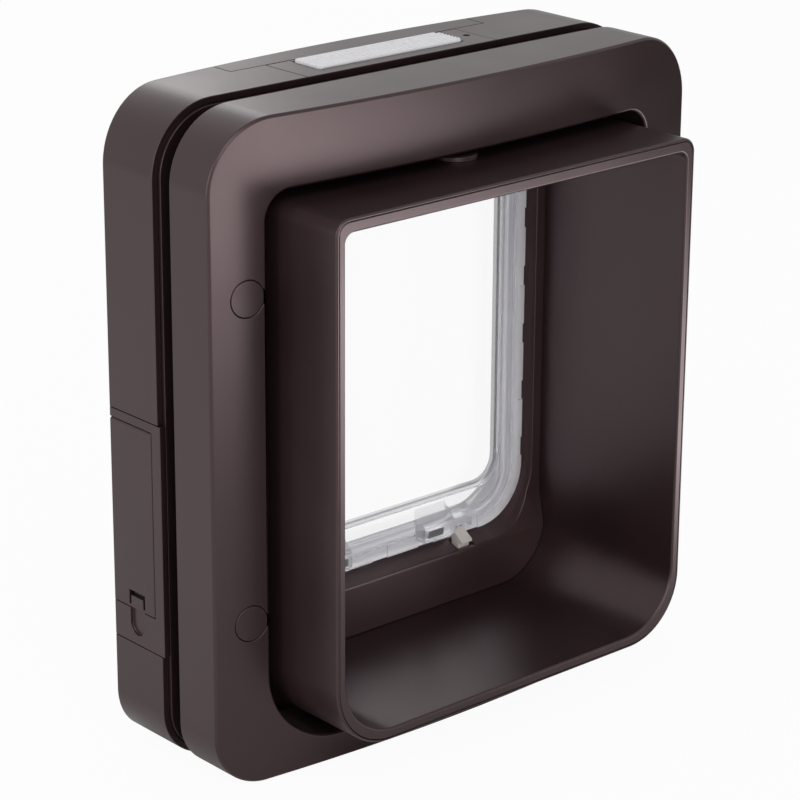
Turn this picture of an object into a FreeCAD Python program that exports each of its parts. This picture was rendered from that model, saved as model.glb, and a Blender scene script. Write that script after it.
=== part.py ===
import FreeCAD, Part
import math
import os

# An electronic cat flap for a door, in millimetres. X is to the right as seen from outdoors,
# Y points from outdoors into the room and Z is up. The outdoor frame and the indoor unit clamp
# the door leaf between them, and the flap hangs at the inner end of a tunnel.

V = FreeCAD.Vector

# Overall sizes
body_width = 262.0
body_height = 281.0
corner_top_r = 29.5
corner_bottom_r = 24.0
tunnel_reach = 38.0
ring_depth = 24.0
ring_bow = 9.2
door_gap = 9.5
unit_depth = 35.0
unit_bow = 9.8
rim_setback = 1.5

# Clearances
seam = 0.3
slip = 0.2
press = 0.02
running = 0.05
margin = 10.0

# Walls of the mouldings
wall = 2.8
rib = 1.6
rib_setback = 4.0
edge_r = 0.9

# Tunnel, with its distance from the body's sides and top
tunnel_side = 32.3
tunnel_top_margin = 35.4
tunnel_bottom = 19.6
tunnel_wall = 4.6
tunnel_wall_bottom = 5.2
tunnel_wall_top = 5.9
tunnel_top_r = 6.5
tunnel_bottom_r = 28.9
tunnel_inner_top_r = 4.5
tunnel_inner_bottom_r = 27.0
tunnel_flange = 2.5
tunnel_flange_depth = 2.5
lip_r = 0.7
groove_inset = 0.9
groove_width = 0.5
groove_depth = 0.5
dome_r = 10.0
dome_height = 2.6
dome_edge_r = 1.0
dome_inset = 4.5

# Opening of the outdoor frame round the tunnel
ring_gap = 6.3
ring_gap_top = 5.0
ring_gap_bottom = 7.6
ring_opening_top_r = 12.0
ring_opening_bottom_r = 35.0

# Fixing screws, their caps and inserts
screw_side = 17.3
screw_low = 72.1
screw_top_margin = 71.7
screw_r = 2.5
thread_r = 2.4
thread_start = 0.3
screw_hole_r = 3.7
screw_head_r = 4.6
screw_head_height = 3.4
screw_head_gap = 0.5
boss_r = 10.2
cap_r = 7.75
cap_depth = 0.9
cap_line = 0.25
insert_r = 3.6
plate_thickness = 4.0

# Snap hooks that hold the door plate in the housing
hook_side = 47.0
hook_width_x = 12.0
hook_depth = 5.0
hook_wall = 1.6

# Flap frame with its sill
opening_side = 11.7
frame_inset = 13.0
frame_depth = 14.0
opening_top_r = 1.0
opening_bottom_r = 26.0
sill_level = 51.4
sill_reach = 5.0
sill_slope = 0.03
sill_shoulder = 47.0
sill_tip = 64.0
sill_wall = 1.8
sill_thickness = 5.5
sill_side = 11.0
sill_shelf = 0.9
sill_middle_rib = 8.0
sill_end_rib = 13.6
flare_reach = 14.0
flare_drop = 5.0
flare_side = 6.0
flare_r = 3.0
hollow_skin = 3.0

# Flap
flap_gap = 1.8
flap_foot_gap = 1.0
flap_drop = 25.6
flap_foot_r = 25.0
pane_thickness = 2.0
barrel_r = 4.0
barrel_gap = 0.6
seal_width = 5.6
seal_thickness = 5.2
tongue_inset = 1.2
ridge_inset = 14.2
ridge_foot_inset = 20.0
ridge_foot_r = 13.0
ridge_width = 2.0
ridge_height = 1.9
band_inset = 7.6
band_width = 5.0
band_height = 1.1
foot_share = 0.81
seal_step_length = 9.0
seal_step_depth = 0.7
seal_step_pitch = 27.0
seal_steps = 5
hinge_pin_r = 1.5
hinge_pin_length = 11.0
hinge_pin_grip = 5.2
bush_r = 3.0
bush_length = 5.2

# Catch blocks on the foot of the flap, with a magnet and a pocket for the lock bolt
bolt_side = 40.6
magnet_spacing = 18.4
holder_margin = 6.8
hood_lap = 7.4
hood_margin = 5.5
catch_lift = 4.2
catch_height = 14.2
catch_reach = 7.5
catch_wall = 1.4
catch_face = 6.9
hood_reach = 4.75
hood_height = 10.0
hood_face = 8.4
hood_lift = 6.0
magnet_width = 9.0
magnet_height = 3.2
magnet_depth = 4.0
bolt_width = 6.4
bolt_depth = 4.8
bolt_back_gap = 0.9
bolt_nose = 2.2
bolt_nose_height = 1.2
bolt_rise = 4.2
bolt_lift = 4.4
bolt_slope = 4.5
pocket_side = 0.9
pocket_rise = 9.2
well_half = 4.9
well_front = 1.0
well_depth = 3.6

# Lock actuators under the sill
actuator_r = 3.6
actuator_height = 13.0
actuator_foot = 0.9
plunger_r = 1.2
plunger_grip = 4.2
plunger_length = 14.0
sill_magnet_height = 3.2

# Room side opening of the housing
room_side = 1.0
room_foot = 1.0
room_head = 1.9
room_top_r = 8.0
room_bottom_r = 27.0
room_splay = 6.0
rear_edge_r = 1.5

# Battery bays, one each side, with two round cells each
bay_mid = 99.9
bay_end = 1.3
bay_lap = 4.5
box_wall = 1.5
box_skin = 2.0
box_overlap = 1.4
cell_r = 12.7
cell_length = 49.4
cell_nub_r = 3.3
cell_nub = 1.0
cell_gap = 0.1
cell_outer_gap = 0.3
cell_front_gap = 1.0
contact_thickness = 0.5
contact_half = 7.0
cover_foot = 15.8
cover_head = 4.2
cover_front = 5.8
cover_skin = 2.0
cover_lap = 4.2
hook_width = 2.4
hook_rise = 3.0
hook_thickness = 2.0
tab_half = 4.1
tab_height = 5.4
tab_slot = 1.2
tab_slot_top = 2.2
tab_place = 18.2
scoop_height = 11.4
scoop_depth = 1.3
scoop_slot = 1.4

# Control panel on top
strip_side = 61.0
panel_side = 18.0
lens_side = 12.5
display_side = 1.5
board_lap = 6.0
sensor_side = 4.0
post_side = 3.5
panel_depth = 27.0
lens_width = 17.6
lens_place = 17.5
lens_r = 2.5
lens_proud = 0.3
lens_ribs = 9
lens_rib_r = 0.8
lens_rib_height = 0.7
lens_flange = 1.2
lens_flange_thickness = 1.2
lens_corner_inset = 1.4
sensor_place = 14.5
sensor_hole_r = 1.5
sensor_r = 1.9
post_r = 1.8
post_inset = 3.4
post_height = 10.5
board_depth = 20.0
board_thickness = 1.6
display_depth = 15.0

# Antenna coil wound round the tunnel
coil_thickness = 2.1
coil_gap = 0.3

# Planes across the depth
total_depth = tunnel_reach + ring_depth + door_gap + unit_depth + unit_bow
mouth_y = -total_depth / 2
ring_edge_y = mouth_y + tunnel_reach
door_outer_y = ring_edge_y + ring_depth
door_inner_y = door_outer_y + door_gap
housing_front_y = door_inner_y + rim_setback
plate_back_y = door_inner_y + plate_thickness
unit_edge_y = door_inner_y + unit_depth
frame_face_y = door_inner_y + frame_inset
frame_rear_y = frame_face_y + frame_depth
half_width = body_width / 2

# Widths worked out from the body's
tunnel_width = body_width - 2 * tunnel_side
opening_width = tunnel_width - 2 * opening_side
screw_spacing_x = body_width - 2 * screw_side
hook_places = (-half_width + hook_side, half_width - hook_side)
sill_half = opening_width / 2 - sill_side
bolt_x = opening_width / 2 - bolt_side
magnet_x = bolt_x - magnet_spacing
catch_near = magnet_x - holder_margin
hood_near = bolt_x - hood_lap
hood_far = bolt_x + hood_margin
sill_ribs = (sill_middle_rib, bolt_x + sill_end_rib)
room_half = opening_width / 2 + room_side
strip_half = half_width - strip_side
panel_half = strip_half - panel_side
lens_half = panel_half - lens_side
display_half = lens_half - display_side
board_half = panel_half + board_lap
sensor_x = panel_half - sensor_side
post_x = panel_half - post_side

# Levels and places worked out from the sizes above
tunnel_height = body_height - tunnel_bottom - tunnel_top_margin
tunnel_top = tunnel_bottom + tunnel_height
screw_spacing_z = body_height - screw_low - screw_top_margin
tunnel_floor = tunnel_bottom + tunnel_wall_bottom
sill_front_y = frame_face_y - sill_reach
hinge_y = frame_face_y + frame_depth / 2 - 1.6
flap_bottom = sill_level + flap_foot_gap
hinge_z = tunnel_top - flap_drop - barrel_r
opening_top = hinge_z + barrel_r + barrel_gap
room_low = sill_level - room_foot
room_high = opening_top + room_head
flap_half = opening_width / 2 - flap_gap
pane_front_y = hinge_y - pane_thickness / 2
screw_places = [(sx * screw_spacing_x / 2, z)
                for sx in (-1, 1) for z in (screw_low, screw_low + screw_spacing_z)]
head_front_y = ring_edge_y + cap_depth + screw_head_gap
head_seat_y = head_front_y + screw_head_height
shelf_top = tunnel_floor + sill_shelf
bolt_back_y = pane_front_y - bolt_back_gap
bolt_front_y = bolt_back_y - bolt_depth
bolt_mid_y = bolt_front_y + bolt_depth / 2
bolt_top = sill_level + bolt_lift
actuator_base = shelf_top + slip
actuator_top = actuator_base + actuator_height
bolt_base = actuator_top + seam
catch_low = flap_bottom + catch_lift
catch_front_y = pane_front_y - catch_reach
hood_front_y = pane_front_y - hood_reach
panel_rear_y = housing_front_y + panel_depth
bay_low = bay_mid - cell_length - bay_end
bay_high = bay_mid + cell_length + bay_end
cover_low = bay_low + cover_foot
cover_high = bay_high - cover_head
cover_front_y = door_inner_y + cover_front
cover_pivot_x = half_width - cover_skin / 2
cover_pivot_z = cover_high - seam - cover_skin / 2
tray_inner_x = tunnel_width / 2 + tunnel_flange + 0.5
tray_front_y = plate_back_y + seam
cell_x = half_width - box_skin - cell_outer_gap - cell_r
cell_y = tray_front_y + box_wall + cell_front_gap + cell_r
top_inner = body_height - wall

# Outlines are (half width, bottom, top, top corner radius, bottom corner radius)
BODY = (half_width, 0.0, body_height, corner_top_r, corner_bottom_r)
TUNNEL_OUT = (tunnel_width / 2, tunnel_bottom, tunnel_top,
              tunnel_top_r, tunnel_bottom_r)
TUNNEL_IN = (tunnel_width / 2 - tunnel_wall, tunnel_floor,
             tunnel_top - tunnel_wall_top,
             tunnel_inner_top_r, tunnel_inner_bottom_r)
RING_OPENING = (tunnel_width / 2 + ring_gap, tunnel_bottom - ring_gap_bottom,
                tunnel_top + ring_gap_top,
                ring_opening_top_r, ring_opening_bottom_r)
FLAP_OPENING = (opening_width / 2, sill_level, opening_top, opening_top_r, opening_bottom_r)


def grown(outline, distance):
    """An outline moved outwards by a distance, or inwards if it is negative."""
    half, low, high, top_r, bottom_r = outline
    return (half + distance, low - distance, high + distance,
            top_r + distance, bottom_r + distance)


def corner_arc(centre_x, centre_z, radius, start_deg, y):
    """A quarter circle in a plane across Y, anticlockwise from a start angle."""
    points = []
    for turn in (0, 45, 90):
        angle = math.radians(start_deg + turn)
        points.append(V(centre_x + radius * math.cos(angle), y,
                        centre_z + radius * math.sin(angle)))
    return Part.Arc(*points).toShape()


def outline_wire(outline, y):
    """A closed wire of four straight sides and four rounded corners."""
    half, low, high, top_r, bottom_r = outline
    corners = ((half - bottom_r, low + bottom_r, bottom_r, 270),
               (half - top_r, high - top_r, top_r, 0),
               (-half + top_r, high - top_r, top_r, 90),
               (-half + bottom_r, low + bottom_r, bottom_r, 180))
    arcs = [corner_arc(x, z, r, start, y) for x, z, r, start in corners]
    edges = []
    for index, arc in enumerate(arcs):
        following = arcs[(index + 1) % len(arcs)]
        edges.append(arc)
        edges.append(Part.makeLine(arc.Vertexes[-1].Point, following.Vertexes[0].Point))
    return Part.Wire(edges)


def prism(outline, y0, y1):
    """An outline swept straight along Y."""
    return Part.Face(outline_wire(outline, y0)).extrude(V(0, y1 - y0, 0))


def taper(outline0, y0, outline1, y1):
    """A solid between two outlines in different planes."""
    return Part.makeLoft([outline_wire(outline0, y0), outline_wire(outline1, y1)], True, True)


def block(x0, x1, y0, y1, z0, z1):
    """A box between two corners, given in any order along X."""
    low_x = min(x0, x1)
    return Part.makeBox(abs(x1 - x0), y1 - y0, z1 - z0, V(low_x, y0, z0))


def rod(x, z, radius, y0, y1):
    """A cylinder along Y."""
    return Part.makeCylinder(radius, y1 - y0, V(x, y0, z), V(0, 1, 0))


def hexagon(x, z, half_across, y0, y1):
    """A six-sided bar along Y, given half its width across the flats."""
    radius = half_across / math.cos(math.radians(30))
    corners = [V(x + radius * math.cos(math.radians(turn)), y0,
                 z + radius * math.sin(math.radians(turn))) for turn in range(0, 361, 60)]
    return Part.Face(Part.makePolygon(corners)).extrude(V(0, y1 - y0, 0))


def yz_prism(points, x0, x1):
    """A polygon given as (y, z) points, swept along X."""
    low_x = min(x0, x1)
    corners = [V(low_x, y, z) for y, z in points]
    corners.append(corners[0])
    return Part.Face(Part.makePolygon(corners)).extrude(V(abs(x1 - x0), 0, 0))


def joined(shapes):
    """One solid made from several that touch or overlap."""
    return shapes[0].fuse(shapes[1:]).removeSplitter()


def bow_radius(bow):
    """Radius of a face that bulges by bow over the body's width."""
    return (half_width ** 2 + bow ** 2) / (2 * bow)


def bow_depth(x, bow, inset):
    """How far a bowed face stands out of its edge plane at x, moved in by an inset."""
    radius = bow_radius(bow)
    return math.sqrt((radius - inset) ** 2 - x ** 2) - (radius - bow)


def bowed_block(edge_y, side, bow, inset, base_y):
    """Everything between a bowed face and a flat plane; side is -1 outdoors and 1 indoors."""
    reach = half_width + margin
    end_y = edge_y + side * bow_depth(reach, bow, inset)
    low = -margin
    left = V(-reach, end_y, low)
    right = V(reach, end_y, low)
    middle = V(0, edge_y + side * (bow - inset), low)
    edges = [Part.Arc(left, middle, right).toShape(),
             Part.makeLine(right, V(reach, base_y, low)),
             Part.makeLine(V(reach, base_y, low), V(-reach, base_y, low)),
             Part.makeLine(V(-reach, base_y, low), left)]
    return Part.Face(Part.Wire(edges)).extrude(V(0, 0, body_height + 2 * margin))


def bowed_face_edges(shape, bow):
    """The edges round the bowed face of a shape."""
    for face in shape.Faces:
        surface = face.Surface
        if isinstance(surface, Part.Cylinder) and abs(surface.Radius - bow_radius(bow)) < press:
            return face.Edges
    raise ValueError("no bowed face")


def mirrored(shape):
    """The same shape on the other side of the middle plane."""
    return shape.mirror(V(0, 0, 0), V(1, 0, 0))


def on_side(shape, side):
    """A shape made for the right side, mirrored where side is -1."""
    return shape if side > 0 else mirrored(shape)


def exterior_frame():
    """The outdoor frame: a bowed moulding, hollow from behind, with ribs and screw bosses."""
    front = ring_edge_y - ring_bow - margin
    body = prism(BODY, front, door_outer_y)
    body = body.common(bowed_block(ring_edge_y, -1, ring_bow, 0, door_outer_y))
    body = body.cut(prism(RING_OPENING, front, door_outer_y + margin))
    body = body.makeChamfer(edge_r, bowed_face_edges(body, ring_bow))
    void = prism(grown(BODY, -wall), front, door_outer_y + margin)
    void = void.common(bowed_block(ring_edge_y, -1, ring_bow, wall, door_outer_y + margin))
    void = void.cut(prism(grown(RING_OPENING, wall), front, door_outer_y + margin))
    rib_end = door_outer_y - rib_setback
    stiffeners = [block(x - rib / 2, x + rib / 2, front, rib_end, 0, body_height)
                  for x in (-body_width / 4, 0, body_width / 4)]
    stiffeners += [block(-half_width, half_width, front, rib_end, z - rib / 2, z + rib / 2)
                   for z in (body_height * 0.38, body_height * 0.5, body_height * 0.62)]
    stiffeners += [rod(x, z, boss_r, front, door_outer_y) for x, z in screw_places]
    body = body.cut(void.cut(stiffeners))
    holes = []
    for x, z in screw_places:
        holes.append(rod(x, z, screw_hole_r, front, door_outer_y + margin))
        holes.append(rod(x, z, cap_r, front, head_seat_y))
    return body.cut(holes)


def screw_caps():
    """Four plugs that close the screw holes flush with the bowed face."""
    skin = bowed_block(ring_edge_y, -1, ring_bow, 0, door_outer_y)
    return Part.makeCompound([
        rod(x, z, cap_r - cap_line, ring_edge_y - ring_bow, head_front_y - seam).common(skin)
        for x, z in screw_places])


def fixing_screws():
    """Four long screws through the door: a flat head, a plain shank and a thinner thread."""
    screws = []
    for x, z in screw_places:
        head = rod(x, z, screw_head_r, head_front_y, head_seat_y)
        shank = rod(x, z, screw_r, head_seat_y - press, door_inner_y - thread_start)
        thread = rod(x, z, thread_r, door_inner_y - thread_start - press, plate_back_y)
        screws.append(joined([head, shank, thread]))
    return Part.makeCompound(screws)


def screw_inserts():
    """Four hexagonal threaded inserts in the door plate that take the long screws."""
    sleeves = [hexagon(x, z, insert_r, door_inner_y, plate_back_y).cut(
        rod(x, z, thread_r + running, door_inner_y - 1, plate_back_y + 1))
        for x, z in screw_places]
    return Part.makeCompound(sleeves)


def tunnel():
    """The tunnel moulding: an open rounded duct with a grooved lip, a flange and a low dome."""
    body = prism(TUNNEL_OUT, mouth_y, frame_face_y)
    flange = prism(grown(TUNNEL_OUT, tunnel_flange), plate_back_y,
                   plate_back_y + tunnel_flange_depth)
    dome = Part.makeCylinder(dome_r, dome_height + 1, V(0, ring_edge_y + dome_inset, tunnel_top - 1))
    dome = dome.makeChamfer(dome_edge_r, [dome.Edges[0]])
    body = joined([body, flange, dome])
    body = body.cut(prism(TUNNEL_IN, mouth_y - margin, frame_face_y + margin))
    lip = [edge for edge in body.Edges if edge.BoundBox.YMax < mouth_y + press]
    body = body.makeChamfer(lip_r, lip)
    groove = prism(grown(TUNNEL_OUT, -groove_inset), mouth_y - 1, mouth_y + groove_depth)
    groove = groove.cut(prism(grown(TUNNEL_OUT, -groove_inset - groove_width),
                              mouth_y - margin, mouth_y + margin))
    return body.cut(groove)


def door_plate():
    """The flat plate that closes the indoor unit towards the door."""
    outline = grown(BODY, -wall - slip)
    body = prism(outline, door_inner_y, plate_back_y)
    holes = [prism(grown(TUNNEL_OUT, slip), door_inner_y - 1, plate_back_y + 1)]
    for x, z in screw_places:
        holes.append(hexagon(x, z, insert_r + press, door_inner_y - 1, plate_back_y + 1))
    tongues = []
    for x in hook_places:
        for low in (wall + seam, body_height - wall - seam - hook_wall):
            tongues.append(block(x - hook_width_x / 2, x + hook_width_x / 2, plate_back_y - press,
                                 plate_back_y + hook_depth, low, low + hook_wall))
    return joined([body.cut(holes)] + tongues)


def unit_envelope():
    """The full outer form of the indoor unit, before its openings."""
    body = prism(BODY, door_inner_y, unit_edge_y + unit_bow + margin)
    body = body.common(bowed_block(unit_edge_y, 1, unit_bow, 0, door_inner_y))
    return body.makeChamfer(rear_edge_r, bowed_face_edges(body, unit_bow))


UNIT = unit_envelope()


def room_opening(extra):
    """The splayed opening towards the room, grown by an extra wall."""
    inner = (room_half, room_low, room_high, room_top_r, room_bottom_r)
    depth = unit_edge_y + unit_bow + margin - frame_rear_y
    outer = grown(inner, room_splay)
    return taper(grown(inner, extra), frame_rear_y + slip,
                 grown(outer, extra), frame_rear_y + slip + depth)


def housing():
    """The indoor housing: a deep bowed shell, open towards the door plate."""
    front = housing_front_y - margin
    rear = unit_edge_y + unit_bow + margin
    body = UNIT.common(block(-half_width, half_width, housing_front_y, rear, 0, body_height))
    void = prism(grown(BODY, -wall), front, rear)
    void = void.common(bowed_block(unit_edge_y, 1, unit_bow, wall, front))
    cuts = [void.cut(room_opening(wall)), room_opening(0)]
    for side in (-1, 1):
        cuts.append(block(side * (half_width - bay_lap), side * (half_width + 1),
                          front, rear, bay_low, bay_high))
    cuts.append(block(-panel_half, panel_half, front, panel_rear_y,
                      top_inner - 1, body_height + 1))
    cuts.append(block(-strip_half, strip_half, panel_rear_y, rear, top_inner, body_height + 1))
    return body.cut(cuts)


def top_strip():
    """The cover strip behind the control panel, flush with the bowed rear face."""
    low = top_inner + slip
    body = UNIT.common(block(-strip_half + seam, strip_half - seam, panel_rear_y + seam,
                             unit_edge_y + unit_bow, low, body_height))
    lug = block(-panel_half / 2, panel_half / 2, panel_rear_y + seam,
                panel_rear_y + seam + wall, low - wall, low + press)
    return joined([body, lug])


def lens_y():
    """The middle of the display window across the depth."""
    return housing_front_y + lens_place - rim_setback


def control_panel():
    """The insert on top, with a window for the lens, a sensor hole and four posts."""
    body = block(-panel_half + seam, panel_half - seam, housing_front_y, panel_rear_y - seam,
                 top_inner, body_height)
    window = block(-lens_half - slip, lens_half + slip, lens_y() - lens_width / 2 - slip,
                   lens_y() + lens_width / 2 + slip, top_inner - 1, body_height + 1)
    sensor_hole = Part.makeCylinder(sensor_hole_r, wall + 2,
                                    V(sensor_x, housing_front_y + sensor_place, top_inner - 1))
    posts = []
    for x in (-post_x, post_x):
        for y in (housing_front_y + post_inset + wall, panel_rear_y - post_inset):
            posts.append(block(x - post_r, x + post_r, y - post_r, y + post_r,
                               top_inner - post_height, top_inner + press))
    return joined([body.cut([window, sensor_hole])] + posts)


def control_lens():
    """The ribbed window over the display, snapped in from below by its flange."""
    y0 = lens_y() - lens_width / 2
    y1 = lens_y() + lens_width / 2
    plate = block(-lens_half, lens_half, y0, y1, top_inner - slip, body_height + lens_proud)
    upright = [edge for edge in plate.Edges if edge.BoundBox.ZLength > wall]
    plate = plate.makeFillet(lens_r, upright)
    flange = block(-lens_half - lens_flange, lens_half + lens_flange, y0 - lens_flange,
                   y1 + lens_flange, top_inner - lens_flange_thickness - slip, top_inner - slip)
    pitch = (lens_width - 2 * lens_rib_r) / (lens_ribs - 1)
    bars = []
    for index in range(lens_ribs):
        y = y0 + lens_rib_r + index * pitch
        half = lens_half - (lens_corner_inset if index in (0, lens_ribs - 1) else 0)
        top = body_height + lens_proud
        bars.append(yz_prism([(y - lens_rib_r, top), (y - lens_rib_r / 2, top + lens_rib_height),
                              (y + lens_rib_r / 2, top + lens_rib_height),
                              (y + lens_rib_r, top)], -half, half))
    return joined([plate, flange] + bars)


def board_top():
    """Height of the circuit board's upper face."""
    return top_inner - post_height


def circuit_board():
    """The board that hangs under the control panel's posts."""
    y0 = housing_front_y + post_inset
    return block(-board_half, board_half, y0, y0 + board_depth,
                 board_top() - board_thickness, board_top())


def display_module():
    """The display block between the board and the lens."""
    high = top_inner - lens_flange_thickness - 2 * slip
    return block(-display_half, display_half, lens_y() - display_depth / 2,
                 lens_y() + display_depth / 2, board_top(), high)


def light_sensor():
    """The light sensor on the board, under the small hole."""
    height = top_inner - slip - board_top()
    return Part.makeCylinder(sensor_r, height,
                             V(sensor_x, housing_front_y + sensor_place, board_top()))


def antenna_coil():
    """The reading coil wound round the tunnel, between its flange and the flap frame."""
    y0 = plate_back_y + tunnel_flange_depth + coil_gap
    y1 = frame_face_y - coil_gap
    inner = grown(TUNNEL_OUT, slip)
    return prism(grown(inner, coil_thickness), y0, y1).cut(prism(inner, y0 - 1, y1 + 1))


def flare(drop):
    """The clearance over the sill: it widens and falls towards the outdoor side."""
    half, low, high, top_r, bottom_r = FLAP_OPENING
    wide = (half + flare_side, low - flare_drop - drop, high, top_r, bottom_r + flare_r)
    near = (half, low - drop, high, top_r, bottom_r)
    return taper(wide, hinge_y - flare_reach, near, hinge_y)


def sloped_front_y(z, skin):
    """Y of the sill's sloped front face at a height, moved in by a skin."""
    return sill_front_y + skin + sill_slope * (z - tunnel_floor)


def sill_block():
    """The part of the sill that stands in the tunnel, with its front face leaning back."""
    body = prism(grown(TUNNEL_IN, -slip), sill_front_y, frame_face_y + press)
    behind = yz_prism([(sill_front_y, tunnel_floor), (frame_face_y + 1, tunnel_floor),
                       (frame_face_y + 1, sill_tip), (frame_face_y, sill_tip),
                       (sloped_front_y(sill_shoulder, 0), sill_shoulder)],
                      -half_width, half_width)
    return body.common(behind)


def sill_hollow():
    """The moulded pocket under the sill, open towards the room side."""
    low = shelf_top
    under = sill_level - sill_thickness
    shoulder_z = under - sill_thickness / 2
    points = [(sloped_front_y(low, sill_wall), low),
              (sloped_front_y(shoulder_z, sill_wall), shoulder_z),
              (hinge_y, under),
              (frame_rear_y + 1, under),
              (frame_rear_y + 1, low)]
    hollow = yz_prism(points, -sill_half, sill_half)
    ribs = [block(side * x - rib / 2, side * x + rib / 2, sill_front_y, frame_rear_y + margin,
                  low - 1, sill_level) for x in sill_ribs for side in (-1, 1)]
    return hollow.cut(ribs)


def bolt_slots():
    """The two guides in the sill for the lock bolts, each with a shallow well round its head."""
    cuts = []
    for x in (-bolt_x, bolt_x):
        cuts.append(block(x - bolt_width / 2 - seam, x + bolt_width / 2 + seam,
                          bolt_front_y - seam, bolt_back_y + seam, shelf_top + 1, sill_level + 1))
        cuts.append(block(x - well_half, x + well_half, bolt_front_y - bolt_nose - well_front,
                          bolt_back_y + seam, sill_level - well_depth, sill_level + 1))
    return cuts


def magnet_pockets():
    """The seats of the sill magnets, open downwards into the hollow."""
    low = sill_level - sill_thickness
    return [block(side * magnet_x - magnet_width / 2 - slip,
                  side * magnet_x + magnet_width / 2 + slip,
                  hinge_y - slip, hinge_y + magnet_depth + slip,
                  low - 1, low + sill_magnet_height + slip) for side in (-1, 1)]


def flap_frame():
    """The frame round the flap and its sill, which flares out to meet the tunnel's corners."""
    outline = grown(TUNNEL_OUT, tunnel_flange)
    body = joined([prism(outline, frame_face_y, frame_rear_y), sill_block()])
    half, low, high, top_r, bottom_r = outline
    back = frame_rear_y + 1
    front = frame_face_y + hollow_skin
    wall_x = opening_width / 2 + hollow_skin
    cuts = [prism(FLAP_OPENING, hinge_y - press, back), flare(0), sill_hollow()]
    cuts += bolt_slots() + magnet_pockets()
    cuts.append(block(-sill_half, sill_half, front, back,
                      opening_top + 2 * hollow_skin, high - hollow_skin))
    cuts.append(block(-sill_half, sill_half, front, back,
                      low + sill_shelf * 2, shelf_top - sill_wall))
    for side in (-1, 1):
        cuts.append(block(side * wall_x, side * (half - hollow_skin), front, back,
                          sill_level + opening_bottom_r, hinge_z - 2 * bush_r))
        cuts.append(Part.makeCylinder(bush_r + press, bush_length + slip,
                                      V(side * opening_width / 2, hinge_y, hinge_z),
                                      V(side, 0, 0)))
    return body.cut(cuts)


def hinge_bushes():
    """Two bearings in the frame's sides."""
    bushes = []
    for side in (-1, 1):
        axis = V(side, 0, 0)
        sleeve = Part.makeCylinder(bush_r, bush_length, V(side * opening_width / 2, hinge_y, hinge_z),
                                   axis)
        bore = Part.makeCylinder(hinge_pin_r + running, bush_length + 2 * margin,
                                 V(side * (flap_half - margin), hinge_y, hinge_z), axis)
        bushes.append(sleeve.cut(bore))
    return Part.makeCompound(bushes)


def hinge_pins():
    """Two pins pressed into the ends of the flap's barrel."""
    return Part.makeCompound([
        Part.makeCylinder(hinge_pin_r, hinge_pin_length,
                          V(side * (flap_half - hinge_pin_grip), hinge_y, hinge_z),
                          V(side, 0, 0)) for side in (-1, 1)])


def flap_outline(inset):
    """The flap's outline moved in; the foot's margin is narrower than the sides'."""
    foot = inset * foot_share
    return (flap_half - inset, flap_bottom + foot, hinge_z, press, flap_foot_r - foot)


def loop(outline, width, y0, y1):
    """A raised loop along the flap's sides and foot, open at the hinge."""
    half, low, high, top_r, bottom_r = outline
    outer = prism(outline, y0, y1)
    inner = prism((half - width, low + width, high, top_r, bottom_r - width), y0 - 1, y1 + 1)
    clear_top = block(-flap_half, flap_half, y0 - 1, y1 + 1, hinge_z - press, hinge_z + margin)
    return outer.cut([inner, clear_top])


def catch_block(side):
    """A catch block: a part for the magnet with a sloping top, and a hood over the bolt."""
    low = catch_low
    rear_y = pane_front_y + press
    holder = yz_prism([(catch_front_y, low), (rear_y, low), (rear_y, low + catch_height),
                       (catch_front_y, low + catch_face)], catch_near, hood_near)
    hood = yz_prism([(hood_front_y, low), (rear_y, low), (rear_y, low + hood_height),
                     (hood_front_y, low + hood_face)], hood_near - press, hood_far)
    return on_side(joined([holder, hood]), side)


def catch_cuts(side):
    """The magnet slot, and the bolt pocket that stops the flap on one side of the bolt."""
    slot = block(magnet_x - magnet_width / 2 - slip / 2, magnet_x + magnet_width / 2 + slip / 2,
                 catch_front_y - 1, catch_front_y + magnet_depth + slip,
                 catch_low + catch_wall, catch_low + catch_wall + magnet_height + slip)
    half = bolt_width / 2 + pocket_side
    top = flap_bottom + pocket_rise
    rear_y = hinge_y + seal_thickness
    if side > 0:
        pocket = block(bolt_x - half, bolt_x + half, hood_front_y + catch_wall, rear_y,
                       flap_bottom - 1, top)
    else:
        pocket = block(bolt_x - half, bolt_x + half, hood_front_y - 1, pane_front_y,
                       flap_bottom - 1, top)
    passage = block(bolt_x - half, bolt_x + half, hood_front_y - 1, rear_y,
                    flap_bottom - 1, flap_bottom + bolt_rise)
    under_hood = block(bolt_x - half, bolt_x + half, hood_front_y - 1, pane_front_y,
                       flap_bottom - 1, flap_bottom + hood_lift)
    return [on_side(cut, side) for cut in (slot, pocket, passage, under_hood)]


def flap():
    """The clear flap: a pane with moulded ridges, a hinge barrel and two catch blocks."""
    edge = flap_outline(tongue_inset)
    pane = prism(edge, pane_front_y, pane_front_y + pane_thickness)
    barrel = Part.makeCylinder(barrel_r, 2 * flap_half, V(-flap_half, hinge_y, hinge_z),
                               V(1, 0, 0))
    ridge_outline = (flap_half - ridge_inset, flap_bottom + ridge_foot_inset, hinge_z, press,
                     ridge_foot_r)
    ridge = loop(ridge_outline, ridge_width, pane_front_y - ridge_height, pane_front_y + press)
    band = loop(flap_outline(band_inset), band_width, pane_front_y - band_height,
                pane_front_y + press)
    rear_y = pane_front_y + pane_thickness
    rear_ridge = loop(flap_outline(band_inset), ridge_width, rear_y - press,
                      rear_y + ridge_height)
    body = joined([pane, barrel, ridge, band, rear_ridge])
    body = joined([body, catch_block(1), catch_block(-1)])
    body = body.cut(catch_cuts(1) + catch_cuts(-1))
    bores = [Part.makeCylinder(hinge_pin_r + press, hinge_pin_grip + slip + 1,
                               V(side * (flap_half - hinge_pin_grip - slip), hinge_y, hinge_z),
                               V(side, 0, 0)) for side in (-1, 1)]
    return body.cut(bores)


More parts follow.
